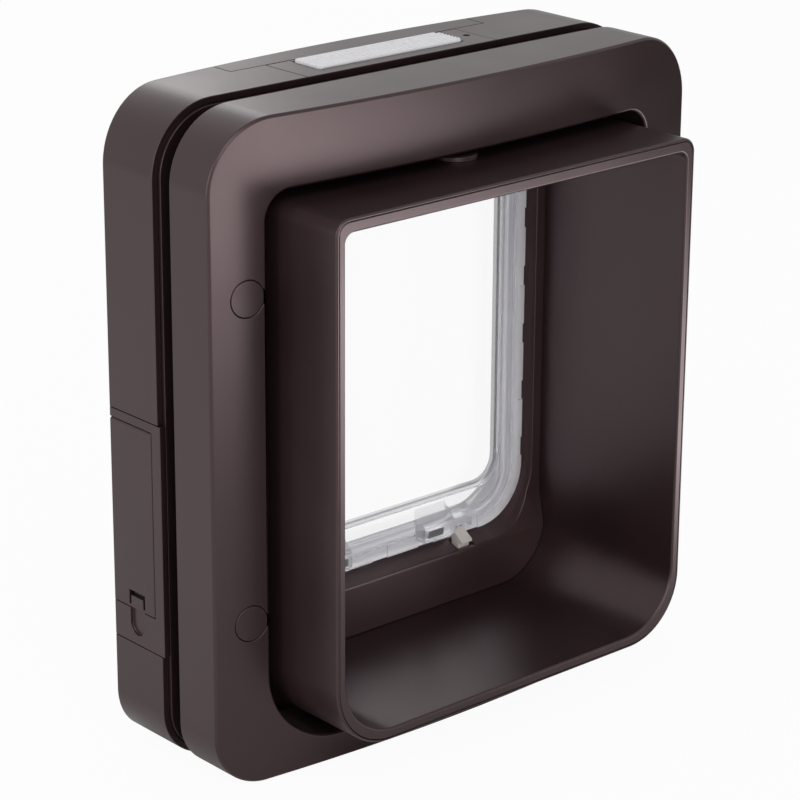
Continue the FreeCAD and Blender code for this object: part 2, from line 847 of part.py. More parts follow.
def flap_seal():
    """The soft strip gripped by the flap's edge, in short stepped lengths at its foot."""
    y0 = hinge_y - seal_thickness / 2
    y1 = hinge_y + seal_thickness / 2
    top = hinge_z - barrel_r - seam
    strip = loop(flap_outline(0), seal_width, y0, y1)
    strip = strip.cut(block(-half_width, half_width, y0 - 1, y1 + 1, top, body_height))
    groove = prism(flap_outline(tongue_inset - slip / 2), pane_front_y - slip / 2,
                   pane_front_y + pane_thickness + slip / 2)
    cuts = [groove] + catch_cuts(1) + catch_cuts(-1)
    for index in range(seal_steps):
        x = (index - (seal_steps - 1) / 2) * seal_step_pitch
        cuts.append(block(x - seal_step_length / 2, x + seal_step_length / 2, y0 - 1,
                          y0 + seal_step_depth, flap_bottom - 1, flap_bottom + seal_width))
        z = hinge_z - (index + 1) * seal_step_pitch
        for side in (-1, 1):
            cuts.append(block(side * (flap_half - seal_width / 2), side * (flap_half + 1),
                              y0 - 1, y0 + seal_step_depth, z, z + seal_step_length))
    for side in (-1, 1):
        cuts.append(on_side(block(catch_near - slip, hood_far + slip, y0 - 1, pane_front_y,
                                  catch_low - slip, body_height), side))
    return strip.cut(cuts)


def flap_magnets():
    """Two magnets in the slots of the catch blocks."""
    low = catch_low + catch_wall + slip / 2
    return Part.makeCompound([
        block(side * magnet_x - magnet_width / 2, side * magnet_x + magnet_width / 2,
              catch_front_y + slip, catch_front_y + slip + magnet_depth - slip, low,
              low + magnet_height)
        for side in (-1, 1)])


def sill_magnets():
    """Two magnets in the sill, which draw the flap back to the middle."""
    low = sill_level - sill_thickness
    return Part.makeCompound([
        block(side * magnet_x - magnet_width / 2, side * magnet_x + magnet_width / 2,
              hinge_y, hinge_y + magnet_depth, low, low + sill_magnet_height)
        for side in (-1, 1)])


def lock_bolt(side):
    """A bolt that rises through the sill into the flap's pocket; its nose slopes outwards."""
    nose_y = bolt_front_y - bolt_nose
    nose_top = bolt_top - bolt_slope
    nose_low = nose_top - bolt_nose_height
    points = [(bolt_front_y, bolt_base), (bolt_back_y, bolt_base), (bolt_back_y, bolt_top - rib / 4),
              (bolt_back_y - rib / 4, bolt_top), (nose_y, nose_top), (nose_y, nose_low),
              (bolt_front_y, nose_low)]
    body = yz_prism(points, bolt_x - bolt_width / 2, bolt_x + bolt_width / 2)
    bore = Part.makeCylinder(plunger_r + press, plunger_grip + slip,
                             V(bolt_x, bolt_mid_y, bolt_base))
    return on_side(body.cut(bore), side)


def lock_plunger(side):
    """The steel plunger pressed into a lock bolt."""
    top = bolt_base + plunger_grip
    return on_side(Part.makeCylinder(plunger_r, plunger_length,
                                     V(bolt_x, bolt_mid_y, top - plunger_length)), side)


def lock_actuator(side):
    """A sealed actuator under the sill, with the bore its plunger slides in."""
    body = Part.makeCylinder(actuator_r, actuator_height, V(bolt_x, bolt_mid_y, actuator_base))
    bore = Part.makeCylinder(plunger_r + running, actuator_height,
                             V(bolt_x, bolt_mid_y, actuator_base + actuator_foot))
    return on_side(body.cut(bore), side)


def unit_core(inset):
    """The indoor unit's form moved in at the sides and at the bowed rear face."""
    front = door_inner_y - margin
    body = prism(grown(BODY, -inset), front, unit_edge_y + unit_bow + margin)
    return body.common(bowed_block(unit_edge_y, 1, unit_bow, inset, front))


def cover_window():
    """The opening that a battery cover closes, on the right side."""
    return block(half_width - bay_lap - slip, half_width + margin, cover_front_y,
                 unit_edge_y + unit_bow + margin, cover_low, cover_high)


def battery_box(side):
    """A battery box: a tray behind the housing's side, with the frame of its cover."""
    rear = unit_edge_y + unit_bow + margin
    outer = UNIT.common(block(half_width - bay_lap + seam, half_width, door_inner_y, rear,
                              bay_low + seam, bay_high - seam))
    tray = unit_core(wall + slip).common(
        block(tray_inner_x, half_width, tray_front_y, rear,
              bay_low + seam - box_overlap, bay_high - seam + box_overlap))
    outer = outer.cut(block(0, half_width - wall, door_inner_y - 1, tray_front_y, 0, body_height))
    body = joined([outer, tray])
    cavity = unit_core(box_skin).common(
        block(tray_inner_x + box_wall, half_width, tray_front_y + box_wall,
              cell_y + cell_r + slip, bay_low + seam + slip / 2, bay_high - seam - slip / 2))
    corner = unit_core(box_skin).common(
        block(half_width - bay_lap - slip, half_width, tray_front_y + box_wall, rear,
              bay_low + seam + slip / 2, bay_high - seam - slip / 2))
    body = body.cut([cavity, corner, cover_window(), scoop()])
    return on_side(body, side)


def tab_y():
    """The middle of the cover's finger tab across the depth."""
    return door_inner_y + tab_place


def scoop():
    """The finger scoop under the cover's tab, with a deeper slot at its foot."""
    y0 = tab_y() - tab_half - tab_slot / 2
    y1 = tab_y() + tab_half + tab_slot / 2
    low = cover_low - scoop_height
    radius = (y1 - y0) / 2
    deep = half_width - scoop_depth
    upper = block(deep, half_width + 1, y0, y1, low + radius, cover_low + 1)
    lower = Part.makeCylinder(radius, scoop_depth + 1, V(deep, tab_y(), low + radius), V(1, 0, 0))
    return joined([upper, lower])


def battery_cover(side):
    """A cover that hooks in at the top, wraps the rear edge and snaps in with a finger tab."""
    rear = unit_edge_y + unit_bow + margin
    low = cover_low + seam
    high = cover_high - seam
    front = cover_front_y + seam
    shell = UNIT.common(block(half_width - cover_lap, half_width, front, rear, low, high))
    shell = shell.cut(unit_core(cover_skin))
    shell = shell.cut(block(half_width - cover_skin, half_width + 1, front - 1, rear,
                            cover_pivot_z, high + 1))
    roll = Part.makeCylinder(cover_skin / 2, unit_edge_y - rear_edge_r - front,
                             V(cover_pivot_x, front, cover_pivot_z), V(0, 1, 0))
    inner_x = half_width - cover_skin
    parts = [shell, roll]
    hook_rear = unit_edge_y - wall - hook_width - seam
    for y in (front + slip, hook_rear):
        foot = block(inner_x - hook_thickness - seam, inner_x + press, y, y + hook_width,
                     cover_pivot_z - hook_rise - 1, cover_pivot_z)
        finger = block(inner_x - hook_thickness - seam, inner_x - seam, y, y + hook_width,
                       cover_pivot_z - 1, cover_high + hook_rise - seam)
        parts += [foot, finger]
    body = joined(parts)
    slot = block(inner_x - 1, half_width + 1, tab_y() - tab_half - tab_slot,
                 tab_y() + tab_half + tab_slot, low - 1, low + tab_height + tab_slot_top)
    tab = block(inner_x - 2, half_width + 2, tab_y() - tab_half, tab_y() + tab_half,
                low - 2, low + tab_height)
    bridge = block(inner_x - 2, half_width + 2, tab_y() - tab_half - tab_slot - 1,
                   tab_y() + tab_half + tab_slot + 1, low - 2, low + tab_slot)
    return on_side(body.cut(slot.cut([tab, bridge])), side)


def battery_cells(side):
    """Two round cells end to end."""
    low = bay_mid - cell_length - cell_gap / 2
    cells = []
    for index in range(2):
        z = low + index * (cell_length + cell_gap)
        can = Part.makeCylinder(cell_r, cell_length - cell_nub, V(cell_x, cell_y, z))
        nub = Part.makeCylinder(cell_nub_r, cell_nub + press,
                                V(cell_x, cell_y, z + cell_length - cell_nub - press))
        cells.append(on_side(joined([can, nub]), side))
    return Part.makeCompound(cells)


def battery_contacts(side):
    """The contact plates at both ends of a battery box."""
    reach = cell_length + cell_gap / 2 + press
    plates = []
    for z in (bay_mid - reach - contact_thickness, bay_mid + reach):
        plate = block(cell_x - contact_half, cell_x + contact_half, cell_y - contact_half,
                      cell_y + contact_half, z, z + contact_thickness)
        plates.append(on_side(plate, side))
    return Part.makeCompound(plates)


def nodes():
    """Every piece of the cat flap by name."""
    pieces = {
        "exterior_frame": exterior_frame(),
        "screw_caps": screw_caps(),
        "fixing_screws": fixing_screws(),
        "screw_inserts": screw_inserts(),
        "tunnel": tunnel(),
        "door_plate": door_plate(),
        "housing": housing(),
        "top_strip": top_strip(),
        "control_panel": control_panel(),
        "control_lens": control_lens(),
        "circuit_board": circuit_board(),
        "display_module": display_module(),
        "light_sensor": light_sensor(),
        "antenna_coil": antenna_coil(),
        "flap_frame": flap_frame(),
        "hinge_bushes": hinge_bushes(),
        "hinge_pins": hinge_pins(),
        "flap": flap(),
        "flap_seal": flap_seal(),
        "flap_magnets": flap_magnets(),
        "sill_magnets": sill_magnets(),
    }
    for name, side in (("left", -1), ("right", 1)):
        pieces["lock_bolt_" + name] = lock_bolt(side)
        pieces["lock_plunger_" + name] = lock_plunger(side)
        pieces["lock_actuator_" + name] = lock_actuator(side)
        pieces["battery_box_" + name] = battery_box(side)
        pieces["battery_cover_" + name] = battery_cover(side)
        pieces["battery_cells_" + name] = battery_cells(side)
        pieces["battery_contacts_" + name] = battery_contacts(side)
    return pieces


os.makedirs("parts", exist_ok=True)
for node_name, shape in nodes().items():
    shape.exportStep("parts/" + node_name + ".step")
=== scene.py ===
import math

import bmesh
import bpy
from bpy.props import FloatProperty, FloatVectorProperty, PointerProperty
from mathutils import Matrix, Vector


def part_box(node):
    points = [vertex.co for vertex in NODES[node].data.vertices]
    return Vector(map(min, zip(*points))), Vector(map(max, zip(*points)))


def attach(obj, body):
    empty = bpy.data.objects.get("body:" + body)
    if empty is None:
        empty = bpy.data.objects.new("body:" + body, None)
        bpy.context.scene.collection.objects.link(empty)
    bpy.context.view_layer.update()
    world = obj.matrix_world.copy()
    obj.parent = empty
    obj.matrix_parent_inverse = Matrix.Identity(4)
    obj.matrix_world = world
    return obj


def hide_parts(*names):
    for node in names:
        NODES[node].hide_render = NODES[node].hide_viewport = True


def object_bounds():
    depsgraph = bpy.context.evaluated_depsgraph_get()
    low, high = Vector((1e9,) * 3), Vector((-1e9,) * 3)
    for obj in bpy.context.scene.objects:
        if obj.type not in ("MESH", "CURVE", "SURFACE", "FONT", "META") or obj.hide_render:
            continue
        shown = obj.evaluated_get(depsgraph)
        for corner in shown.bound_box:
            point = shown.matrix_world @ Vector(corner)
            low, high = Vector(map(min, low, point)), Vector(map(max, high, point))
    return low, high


bl_info = {
    "name": "Cat Flap Looks",
    "version": (1, 0, 0),
    "blender": (4, 5, 0),
    "location": "View3D > Sidebar > Cat Flap",
    "description": "Finishes, fine detail and a plain studio for a cat flap",
    "category": "Object",
}

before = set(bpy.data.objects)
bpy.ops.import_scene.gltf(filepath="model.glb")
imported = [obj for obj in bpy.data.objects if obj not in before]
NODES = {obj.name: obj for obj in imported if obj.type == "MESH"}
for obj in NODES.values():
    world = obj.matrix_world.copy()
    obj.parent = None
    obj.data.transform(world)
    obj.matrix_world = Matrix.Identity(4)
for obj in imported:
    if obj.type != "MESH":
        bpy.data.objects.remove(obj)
CAD_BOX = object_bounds()

# Mouldings whose edges are broken, with the body that each rides on
BASE_MOULDINGS = ("exterior_frame", "screw_caps", "tunnel", "door_plate", "housing", "top_strip",
                  "control_panel", "battery_box_left", "battery_box_right")
COVERS = {"battery_cover_left": "cover_left", "battery_cover_right": "cover_right"}
BOLTS = {"lock_bolt_left": "bolt_left", "lock_bolt_right": "bolt_right"}

# How a node's mesh is cleaned and where its edges are broken: angles, and a length in metres
SHARP_ANGLE = math.radians(35)
FLAT_ANGLE = math.radians(0.3)
MERGE_DISTANCE = 0.000001

# The flap's rim and ridge, inward from the seal's outline, and its pane's front, in metres
RIM_RADIUS = 0.030
RIM_WIDTH = 0.0118
RIDGE_SIDE = 0.0142
RIDGE_FOOT = 0.020
RIDGE_RADIUS = 0.013
RIDGE_WIDTH = 0.002
RIDGE_FADE = 0.0012
PANE_FRONT = 0.03075
BLOCK_DEPTH = 0.0006
MASK_EDGE = 0.0002

# The lens's ribs, the cells' bare ends and the coil's wire, in metres, and shares of them
LENS_RIB_HEIGHT = 0.0007
LENS_RIB_CREST = 0.2
CELL_END = 0.0022
CELL_BAND = 0.62
WIRE_PITCH = 0.0006

# Where most of a noise's values lie
NOISE_LOW = 0.3
NOISE_HIGH = 0.7

SLEEVE_DARK = (0.035, 0.04, 0.05)
SLEEVE_PALE = (0.30, 0.31, 0.33)
CELL_METAL = (0.6, 0.6, 0.61)
# Enamel of the coil's wire: painted shade between its turns, painted highlight on their crests
ENAMEL_PAINTED_SHADE = (0.16, 0.05, 0.02)
ENAMEL_PAINTED_HIGHLIGHT = (0.62, 0.26, 0.10)

# Inner metals and plastics: name, colour, roughness and the nodes that they cover
METALS = (
    ("screw_steel", (0.56, 0.56, 0.57), 0.3,
     ("fixing_screws", "hinge_pins", "lock_plunger_left", "lock_plunger_right",
      "lock_actuator_left", "lock_actuator_right", "battery_contacts_left",
      "battery_contacts_right")),
    ("insert_brass", (0.72, 0.50, 0.22), 0.3, ("screw_inserts",)),
)
PLASTICS = (
    ("bush_plastic", (0.72, 0.71, 0.67), 0.4, ("hinge_bushes",)),
    ("magnet_coating", (0.19, 0.185, 0.185), 0.35, ("flap_magnets", "sill_magnets")),
    ("board_green", (0.015, 0.11, 0.04), 0.35, ("circuit_board",)),
    ("module_black", (0.03, 0.032, 0.036), 0.25, ("display_module", "light_sensor")),
)

# Camera of the photograph: lens, angles in degrees, distance and aim in metres
CAMERA_LENS = 135.0
CAMERA_YAW = 41.59
CAMERA_PITCH = -19.69
CAMERA_ROLL = 0.33
CAMERA_DISTANCE = 1.23565
CAMERA_AIM = Vector((-0.03255, -0.02015, 0.14835))
SENSOR_WIDTH = 36.0

# Soft lights: name, place, aim, width and height in metres
SOFTBOXES = (
    ("key", (-0.9, -1.1, 1.5), (0, 0, 0.15), 1.2, 1.2),
    ("front", (-0.6, -1.6, 0.3), (0, 0, 0.15), 1.0, 0.5),
    ("left", (-1.6, 0.1, 0.5), (0, 0, 0.15), 1.0, 1.0),
    ("back", (0.5, 1.5, 0.8), (0, 0, 0.28), 1.0, 0.6),
)

# The floor, in metres, and the stretches over which its reflection changes
FLOOR_HALF = 4.0
FLOOR_DROP = 0.0002
FLOOR_TONE = 0.95
NEAR_STRETCH = (0.15, 0.3)
WINDOW_LEFT = (0.05, 0.3)
WINDOW_RIGHT = (0.42, 0.58)
WINDOW_REAR = (-0.3, -0.1)
LEFT_STRETCH = (-0.15, -0.05)
RIGHT_STRETCH = (0.4, 0.7)


# Shader maths

class Value:
    """A number in a shader, so that sums are written as plain expressions."""

    def __init__(self, look, socket):
        self.look = look
        self.socket = socket

    def maths(self, operation, first, second=None):
        inputs = {0: first} if second is None else {0: first, 1: second}
        return self.look.number("ShaderNodeMath", {"operation": operation}, inputs)

    def __add__(self, other):
        return self.maths("ADD", self, other)

    __radd__ = __add__

    def __sub__(self, other):
        return self.maths("SUBTRACT", self, other)

    def __rsub__(self, other):
        return self.maths("SUBTRACT", other, self)

    def __mul__(self, other):
        return self.maths("MULTIPLY", self, other)

    __rmul__ = __mul__

    def __truediv__(self, other):
        return self.maths("DIVIDE", self, other)

    def __rtruediv__(self, other):
        return self.maths("DIVIDE", other, self)

    def __pow__(self, other):
        return self.maths("POWER", self, other)

    def __rpow__(self, other):
        return self.maths("POWER", other, self)

    def __gt__(self, other):
        return self.maths("GREATER_THAN", self, other)

    def __lt__(self, other):
        return self.maths("LESS_THAN", self, other)

    def __abs__(self):
        return self.maths("ABSOLUTE", self)

    def largest(self, other):
        return self.maths("MAXIMUM", self, other)

    def smallest(self, other):
        return self.maths("MINIMUM", self, other)

    def sine(self):
        return self.maths("SINE", self)

    def fraction(self):
        return self.maths("FRACT", self)


class Look:
    """The nodes of a new material, or of a world that is given."""

    def __init__(self, name, world=None):
        self.material = world or bpy.data.materials.new(name)
        self.material.use_nodes = True
        self.tree = self.material.node_tree
        self.shader = self.tree.nodes["Background" if world else "Principled BSDF"]

    def node(self, kind, settings=None, inputs=None):
        """Adds a node: its settings first, then the values or links of its sockets."""
        made = self.tree.nodes.new(kind)
        for key, setting in (settings or {}).items():
            setattr(made, key, setting)
        for key, given in (inputs or {}).items():
            self.plug(made.inputs[key], given)
        return made

    def number(self, kind, settings, inputs):
        """Adds a node and gives its first output."""
        return Value(self, self.node(kind, settings, inputs).outputs[0])

    def plug(self, socket, given):
        """Links a value or a node's output to a socket, or sets the socket."""
        if isinstance(given, Value):
            self.tree.links.new(given.socket, socket)
        elif isinstance(given, bpy.types.NodeSocket):
            self.tree.links.new(given, socket)
        else:
            socket.default_value = given

    def surface(self, **given):
        """Sets the shader's sockets; underscores stand for spaces."""
        for key, setting in given.items():
            self.plug(self.shader.inputs[key.replace("_", " ")], setting)

    def place(self):
        """Object coordinates, in metres."""
        return self.node("ShaderNodeTexCoord").outputs["Object"]

    def axes(self):
        """The three object coordinates, each as a value."""
        parts = self.node("ShaderNodeSeparateXYZ", None, {0: self.place()})
        return [Value(self, output) for output in parts.outputs]

    def noise(self, scale, detail=2.0, roughness=0.5):
        return self.number("ShaderNodeTexNoise", None,
                           {"Vector": self.place(), "Scale": scale, "Detail": detail,
                            "Roughness": roughness})

    def band(self, source, low, high, out_low, out_high):
        """Maps a value from one range to another, held at both ends."""
        return self.number("ShaderNodeMapRange", {"clamp": True},
                           {"Value": source, "From Min": low, "From Max": high,
                            "To Min": out_low, "To Max": out_high})

    def rise(self, source, low, high):
        """Zero below a range and one above it."""
        return self.band(source, low, high, 0.0, 1.0)

    def fall(self, source, low, high):
        """One below a range and zero above it."""
        return self.band(source, low, high, 1.0, 0.0)

    def spread(self, noise, low, high):
        """Spreads a noise over a range."""
        return self.band(noise, NOISE_LOW, NOISE_HIGH, low, high)

    def blend(self, factor, first, second):
        """Mixes two colours by a factor."""
        mixed = self.node("ShaderNodeMix", {"data_type": "RGBA"},
                          {"Factor": factor, "A": first, "B": second})
        return mixed.outputs["Result"]

    def mottled(self, noise, colour, gain):
        """A colour that a noise makes paler or deeper in places."""
        return self.blend(noise, rgba(colour), rgba(colour, gain))

    def bump(self, height, distance, strength):
        made = self.node("ShaderNodeBump", None, {"Height": height, "Strength": strength,
                                                  "Distance": distance})
        self.plug(self.shader.inputs["Normal"], made.outputs["Normal"])

    def mixed_shaders(self, factor, first, second):
        """Mixes two shaders, given as nodes."""
        return self.node("ShaderNodeMixShader", None,
                         {0: factor, 1: first.outputs[0], 2: second.outputs[0]})


def rgba(colour, gain=1.0):
    """A colour with its alpha, made paler or deeper by a gain."""
    return (*(min(1.0, part * gain) for part in colour), 1.0)


def dress(look, *names):
    """Gives a finish to carried-over nodes."""
    for name in names:
        NODES[name].data.materials.clear()
        NODES[name].data.materials.append(look.material)


# Finishes

def brown_plastic(looks, name, gain):
    """Satin moulded plastic with a fine spark-eroded grain and a faint cloudiness."""
    look = Look(name)
    cloud = look.noise(scale=22.0, detail=3.0)
    grain = look.noise(scale=2600.0, roughness=0.6)
    tone = look.rise(cloud, low=0.35, high=0.65)
    # A gain above one gives a paler copy of the same brown: painted light
    colour = look.blend(tone, rgba(looks.brown, gain), rgba(looks.brown_light, gain))
    rough = look.spread(cloud, looks.satin - looks.satin_spread, looks.satin + looks.satin_spread)
    look.surface(Base_Color=colour, Roughness=rough, Specular_IOR_Level=0.7,
                 Specular_Tint=rgba(looks.sheen))
    look.bump(grain, distance=0.00003, strength=0.35)
    return look


def rim_distance(look, half, low, radius):
    """How far inside the flap's foot outline a point lies, in metres."""
    x, _, z = look.axes()
    aside = abs(x) - (half - radius)
    below = (low + radius) - z
    across = aside.largest(0.0)
    down = below.largest(0.0)
    corner = (across * across + down * down) ** 0.5
    inside = aside.largest(below).smallest(0.0)
    return radius - corner - inside


def clear_plastic(looks):
    """Clear moulded plastic: its pane hides least; its rim and catch blocks are painted pale and
    its ridge painted grey, as painted refraction.
    """
    look = Look("clear_plastic")
    low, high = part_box("flap_seal")
    flow = look.noise(scale=35.0)
    rim_depth = rim_distance(look, high.x - RIM_WIDTH, low.z + RIM_WIDTH, RIM_RADIUS)
    ridge_depth = rim_distance(look, high.x - RIDGE_SIDE, low.z + RIDGE_FOOT, RIDGE_RADIUS)
    # Masks by place alone: the ridge gets painted grey shade and the rim and catch blocks a
    # painted pale tint, and each hides more, as painted refraction through thicker plastic
    ridge = look.fall(abs(ridge_depth - RIDGE_WIDTH / 2), RIDGE_WIDTH / 2, RIDGE_FADE)
    rim = look.fall(rim_depth, -MASK_EDGE, MASK_EDGE)
    depth = look.axes()[1]
    proud = look.fall(depth, PANE_FRONT - BLOCK_DEPTH, PANE_FRONT - MASK_EDGE)
    rim_and_blocks_painted_pale = look.blend(rim.largest(proud), rgba(looks.clear), rgba(looks.rim))
    colour = look.blend(ridge, rim_and_blocks_painted_pale, rgba(looks.ridge))
    solid = (rim * looks.rim_cover).largest(proud * looks.block_cover)
    border = look.band(ridge_depth, -MASK_EDGE, MASK_EDGE, looks.border_cover, looks.pane_cover)
    cover = solid.largest(ridge * looks.ridge_cover).largest(border)
    look.surface(Base_Color=colour, Roughness=look.spread(flow, low=0.14, high=0.2), IOR=1.2,
                 Transmission_Weight=0.6, Alpha=cover)
    look.bump(flow, distance=0.0002, strength=0.2)
    return look


def seal_strip(looks):
    """Soft translucent strip, matt and slightly cloudy."""
    look = Look("seal_strip")
    cloud = look.noise(scale=160.0)
    look.surface(Base_Color=look.mottled(cloud, looks.seal, gain=1.08),
                 Roughness=look.spread(cloud, low=0.4, high=0.5), Transmission_Weight=0.75,
                 IOR=1.15)
    look.bump(cloud, distance=0.00015, strength=0.4)
    return look


def lens_plastic(looks):
    """White translucent plastic with painted shade down in the grooves between its ribs."""
    look = Look("lens_plastic")
    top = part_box("control_lens")[1].z
    height = look.axes()[2]
    rise = look.rise(height, top - LENS_RIB_HEIGHT, top - LENS_RIB_CREST * LENS_RIB_HEIGHT)
    cloud = look.noise(scale=90.0)
    look.surface(Base_Color=look.blend(rise, rgba(looks.lens_groove_painted_shade), rgba(looks.lens)),
                 Roughness=look.spread(cloud, low=0.18, high=0.28), IOR=1.49,
                 Subsurface_Weight=0.1, Subsurface_Scale=0.002)
    return look


def cream_plastic(looks):
    """Cream moulded plastic of the lock bolts."""
    look = Look("cream_plastic")
    cloud = look.noise(scale=300.0, detail=3.0)
    look.surface(Base_Color=look.mottled(cloud, looks.cream, gain=0.86),
                 Roughness=look.spread(cloud, low=0.38, high=0.5))
    look.bump(cloud, distance=0.00003, strength=0.3)
    return look


def plain_metal(name, colour, rough):
    """Bare metal with fine marks."""
    look = Look(name)
    marks = look.noise(scale=900.0)
    look.surface(Base_Color=look.mottled(marks, colour, gain=0.8), Metallic=1.0,
                 Roughness=look.spread(marks, rough - 0.06, rough + 0.06))
    look.bump(marks, distance=0.00002, strength=0.25)
    return look


def plain_plastic(name, colour, rough):
    """Plain inner plastic or coating with a slight mottle."""
    look = Look(name)
    mottle = look.noise(scale=240.0, detail=3.0)
    look.surface(Base_Color=look.mottled(mottle, colour, gain=0.82),
                 Roughness=look.spread(mottle, rough - 0.06, rough + 0.06))
    look.bump(mottle, distance=0.00004, strength=0.3)
    return look


def cell_sleeve():
    """Plain dark sleeve with a pale band, and bare metal at both ends of each cell."""
    look = Look("cell_sleeve")
    low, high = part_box("battery_cells_left")
    height = look.axes()[2]
    pitch = (high.z - low.z) / 2
    along = ((height - low.z) / pitch).fraction() * pitch
    bare = (along < CELL_END) + (along > pitch - CELL_END)
    pale = (along > pitch * CELL_BAND) * (along < pitch - CELL_END)
    mottle = look.noise(scale=300.0)
    sleeve = look.blend(pale, rgba(SLEEVE_DARK), rgba(SLEEVE_PALE))
    look.surface(Base_Color=look.blend(bare, sleeve, rgba(CELL_METAL)), Metallic=bare,
                 Roughness=look.spread(mottle, low=0.22, high=0.34))
    return look


def copper_winding():
    """Enamelled wire wound side by side, with painted shade between its turns and a painted
    highlight on their crests.
    """
    look = Look("copper_winding")
    depth = look.axes()[1]
    turns = (depth * (2.0 * math.pi / WIRE_PITCH)).sine()
    crest_painted_highlight = look.rise(turns, low=-1.0, high=1.0)
    look.surface(Base_Color=look.blend(crest_painted_highlight, rgba(ENAMEL_PAINTED_SHADE), rgba(ENAMEL_PAINTED_HIGHLIGHT)),
                 Metallic=0.6, Roughness=0.32)
    look.bump(turns, distance=0.0001, strength=0.6)
    return look


# Broken edges

def broken_edges(name, body, look, width):
    """A copy of a node with its sharp edges broken, as a mould leaves them."""
    mesh = NODES[name].data.copy()
    mesh.name = name + "_rounded"
    shape = bmesh.new()
    shape.from_mesh(mesh)
    bmesh.ops.remove_doubles(shape, verts=shape.verts, dist=MERGE_DISTANCE)
    bmesh.ops.dissolve_limit(shape, angle_limit=FLAT_ANGLE, verts=shape.verts, edges=shape.edges)
    for face in shape.faces:
        face.smooth = True
    shape.to_mesh(mesh)
    shape.free()
    mesh.materials.clear()
    mesh.materials.append(look.material)
    piece = bpy.data.objects.new(name + "_rounded", mesh)
    bpy.context.scene.collection.objects.link(piece)
    bevel = piece.modifiers.new("edges", "BEVEL")
    bevel.width = width
    bevel.segments = 2
    bevel.limit_method = "ANGLE"
    bevel.angle_limit = SHARP_ANGLE
    bevel.use_clamp_overlap = False
    shading = piece.modifiers.new("shading", "WEIGHTED_NORMAL")
    shading.mode = "FACE_AREA_WITH_ANGLE"
    shading.keep_sharp = True
    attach(piece, body)
    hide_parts(name)


class CatFlapLooks(bpy.types.PropertyGroup):
    brown: FloatVectorProperty(
        name="Brown", description="Deep tone of the mouldings", subtype="COLOR", size=3,
        min=0.0, max=1.0, default=(0.0185, 0.0100, 0.0104))
    brown_light: FloatVectorProperty(
        name="Light brown", description="Lighter tone of the mouldings", subtype="COLOR", size=3,
        min=0.0, max=1.0, default=(0.0220, 0.0120, 0.0124))
    sheen: FloatVectorProperty(
        name="Sheen", description="Tint of the mouldings' reflections", subtype="COLOR", size=3,
        min=0.0, max=1.0, default=(1.0, 0.76, 0.79))
    # The flap's frame is the same brown made paler by this gain: painted light deep inside the
    # tunnel
    frame_painted_light_gain: FloatProperty(
        name="Inner tone", description="How much paler the flap's frame is", default=1.8,
        min=0.1, max=4.0)
    edge_width: FloatProperty(
        name="Edge width", description="Width of the broken edges", default=0.00028,
        min=0.0, max=0.002, precision=5, unit="LENGTH")
    satin: FloatProperty(
        name="Satin", description="Roughness of the mouldings", default=0.31,
        min=0.05, max=1.0, subtype="FACTOR")
    satin_spread: FloatProperty(
        name="Satin spread", description="How far the mouldings' roughness varies",
        default=0.03, min=0.0, max=0.05, subtype="FACTOR")
    clear: FloatVectorProperty(
        name="Clear", description="Tint of the clear flap", subtype="COLOR", size=3,
        min=0.0, max=1.0, default=(0.985, 0.985, 0.992))
    # The rim's and the ridge's tints are painted refraction: a painted pale tint on the rim,
    # painted shade along the ridge
    rim: FloatVectorProperty(
        name="Rim", description="Tint of the flap's thick rim", subtype="COLOR", size=3,
        min=0.0, max=1.0, default=(0.86, 0.86, 0.90))
    ridge: FloatVectorProperty(
        name="Ridge", description="Tint of the flap's ridge", subtype="COLOR", size=3,
        min=0.0, max=1.0, default=(0.60, 0.60, 0.64))
    # How much each part hides: more at the border, rim, ridge and catch blocks, as painted
    # refraction through the thicker plastic
    pane_cover: FloatProperty(
        name="Pane cover", description="How much the clear pane hides", default=0.05,
        min=0.0, max=1.0, subtype="FACTOR")
    border_cover: FloatProperty(
        name="Border cover", description="How much the pane hides outside its ridge",
        default=0.14, min=0.0, max=1.0, subtype="FACTOR")
    rim_cover: FloatProperty(
        name="Rim cover", description="How much the flap's rim hides", default=0.85,
        min=0.0, max=1.0, subtype="FACTOR")
    ridge_cover: FloatProperty(
        name="Ridge cover", description="How much the flap's ridge hides", default=0.65,
        min=0.0, max=1.0, subtype="FACTOR")
    block_cover: FloatProperty(
        name="Block cover", description="How much the catch blocks hide", default=0.6,
        min=0.0, max=1.0, subtype="FACTOR")
    seal: FloatVectorProperty(
        name="Seal", description="Colour of the seal strip", subtype="COLOR", size=3,
        min=0.0, max=1.0, default=(0.99, 0.98, 1.0))
    lens: FloatVectorProperty(
        name="Lens", description="Colour of the ribbed lens", subtype="COLOR", size=3,
        min=0.0, max=1.0, default=(0.98, 0.97, 1.0))
    # Painted shade in the grooves between the lens's ribs
    lens_groove_painted_shade: FloatVectorProperty(
        name="Lens grooves", description="Colour between the ribs", subtype="COLOR", size=3,
        min=0.0, max=1.0, default=(0.82, 0.81, 0.85))
    cream: FloatVectorProperty(
        name="Cream", description="Colour of the lock bolts", subtype="COLOR", size=3,
        min=0.0, max=1.0, default=(0.80, 0.74, 0.69))


